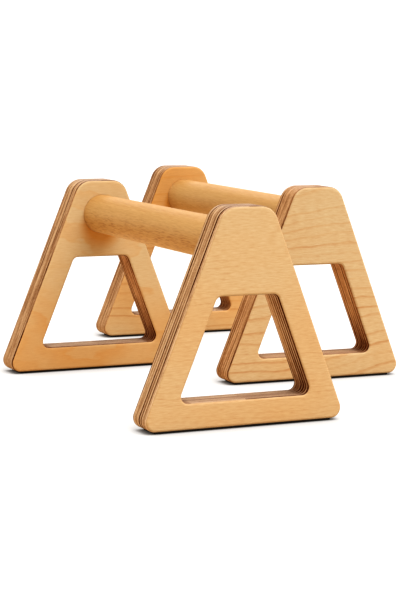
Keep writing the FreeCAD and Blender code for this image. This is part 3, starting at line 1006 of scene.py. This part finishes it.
def floor_finish(studio):
    """A pale floor that gives off a little light, less of it under the part."""
    wiring = Wiring(bpy.data.materials.new("floor"))
    wiring.shade("Base Color", opaque(studio.floor))
    wiring.shade("Roughness", FLOOR_ROUGHNESS)
    wiring.shade("Specular IOR Level", FLOOR_SPECULAR)
    seen = wiring.node("ShaderNodeLightPath").outputs["Is Camera Ray"]
    tint = wiring.mix(seen, opaque(studio.floor_bounce), opaque(studio.floor_shine))
    wiring.shade("Emission Color", tint)
    near, contact = (cover_shade(wiring, *shade) for shade in (NEAR_SHADE, CONTACT_SHADE))
    wiring.shade("Emission Strength", wiring.product(near, contact, studio.floor_glow))
    return wiring.owner


def add_floor(studio):
    """A round floor: rings of points about the middle of the pair, and a flat disc within them."""
    turns = np.linspace(0, 2 * np.pi, FLOOR_PARTS_ROUND, endpoint=False)
    rings = studio.floor_reach * FLOOR_RINGS
    points = np.stack([np.outer(rings, np.cos(turns)), np.outer(rings, np.sin(turns)),
                       np.zeros((len(rings), len(turns)))], axis=-1)
    mesh = bpy.data.meshes.new("floor")
    centre = list(range(len(turns)))
    mesh.from_pydata(points.reshape(-1, 3), [], grid_faces(*points.shape[:2], 0).tolist() + [centre[::-1]])
    mesh.flip_normals()
    mesh.materials.append(floor_finish(studio))
    floor = bpy.data.objects.new("floor", mesh)
    bpy.context.scene.collection.objects.link(floor)


def add_lamp(name, strength, spread, height, side):
    """A far, wide lamp: so high above the horizon, and turned to the right of the front."""
    lamp = bpy.data.lights.new(name, "SUN")
    lamp.energy = strength
    lamp.angle = spread
    holder = bpy.data.objects.new(name, lamp)
    holder.matrix_world = Matrix.Rotation(side, 4, "Z") @ Matrix.Rotation(math.pi / 2 - height, 4, "X")
    bpy.context.scene.collection.objects.link(holder)


def add_light(studio):
    """Soft light: a plain sky, brighter at the horizon, a large lamp in front and above, one behind."""
    wiring = Wiring(bpy.data.worlds.new("studio"))
    sight = wiring.node("ShaderNodeTexCoord").outputs["Generated"]
    bright = wiring.spread(wiring.split(sight)[2], *HORIZON_LIMITS, studio.horizon, studio.sky)
    seen = wiring.node("ShaderNodeLightPath").outputs["Is Camera Ray"]
    wiring.shade("Color", wiring.mix(seen, opaque(studio.sky_tint), opaque(WHITE)))
    wiring.shade("Strength", bright)
    bpy.context.scene.world = wiring.owner
    add_lamp("key_light", studio.key_light, studio.key_spread, studio.key_height, studio.key_side)
    add_lamp("fill_light", studio.fill_light, studio.fill_spread, studio.fill_height, studio.fill_side)


def add_camera(studio):
    """The camera at the photograph's angle: panned from +Y, tilted from level and rolled."""
    lens = bpy.data.cameras.new("camera")
    lens.sensor_width = SENSOR_WIDTH
    lens.lens = studio.camera_lens
    camera = bpy.data.objects.new("camera", lens)
    pan = Matrix.Rotation(-studio.camera_pan, 4, "Z")
    tilt = Matrix.Rotation(math.pi / 2 + studio.camera_tilt, 4, "X")
    roll = Matrix.Rotation(studio.camera_roll, 4, "Z")
    camera.matrix_world = Matrix.Translation(studio.camera_place) @ pan @ tilt @ roll
    bpy.context.scene.collection.objects.link(camera)
    bpy.context.scene.camera = camera


class PARALLETTES_OT_stage(bpy.types.Operator):
    """Sets up the floor, the light and the camera"""
    bl_idname = "parallettes.stage"
    bl_label = "Stage"

    def execute(self, context):
        studio = context.scene.parallettes.studio
        context.scene.view_settings.view_transform = "Standard"
        context.scene.view_settings.look = "High Contrast"
        add_floor(studio)
        add_light(studio)
        add_camera(studio)
        return {"FINISHED"}


class ParalletteSettings(bpy.types.PropertyGroup):
    """Everything that a user may change."""
    sizes: PointerProperty(type=ParalletteSizes, name="Sizes", description="Sizes of one parallette")
    places: PointerProperty(type=PairPlaces, name="Places", description="Where the two parallettes stand")
    colours: PointerProperty(type=WoodColours, name="Colours", description="Colours of wood and rubber")
    studio: PointerProperty(type=StudioSettings, name="Studio", description="Floor, light and camera")


class PARALLETTES_PT_build(bpy.types.Panel):
    """Lists the steps and the settings in the sidebar"""
    bl_idname = "PARALLETTES_PT_build"
    bl_label = "Parallettes"
    bl_space_type = "VIEW_3D"
    bl_region_type = "UI"
    bl_category = "Parallettes"

    def draw(self, context):
        for step in STEPS:
            self.layout.operator(step.bl_idname)
        settings = context.scene.parallettes
        for group in (settings.sizes, settings.places, settings.colours, settings.studio):
            box = self.layout.box()
            for name in group.__annotations__:
                box.prop(group, name)


STEPS = (PARALLETTES_OT_stage, PARALLETTES_OT_plywood_frames, PARALLETTES_OT_grip_bars,
         PARALLETTES_OT_foot_strips)
CLASSES = (ParalletteSizes, PairPlaces, WoodColours, StudioSettings, ParalletteSettings, *STEPS,
           PARALLETTES_PT_build)


def register():
    """Makes the steps, the panel and the settings known."""
    for made in CLASSES:
        bpy.utils.register_class(made)
    bpy.types.Scene.parallettes = PointerProperty(type=ParalletteSettings)


def unregister():
    """Takes them out again."""
    del bpy.types.Scene.parallettes
    for made in reversed(CLASSES):
        bpy.utils.unregister_class(made)


def write_sizes():
    """Brings the placements of all objects up to date."""
    bpy.context.view_layer.update()


def main():
    """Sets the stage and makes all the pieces."""
    register()
    bpy.ops.parallettes.stage()
    bpy.ops.parallettes.plywood_frames()
    bpy.ops.parallettes.grip_bars()
    bpy.ops.parallettes.foot_strips()
    write_sizes()


if __name__ == "__main__":
    main()
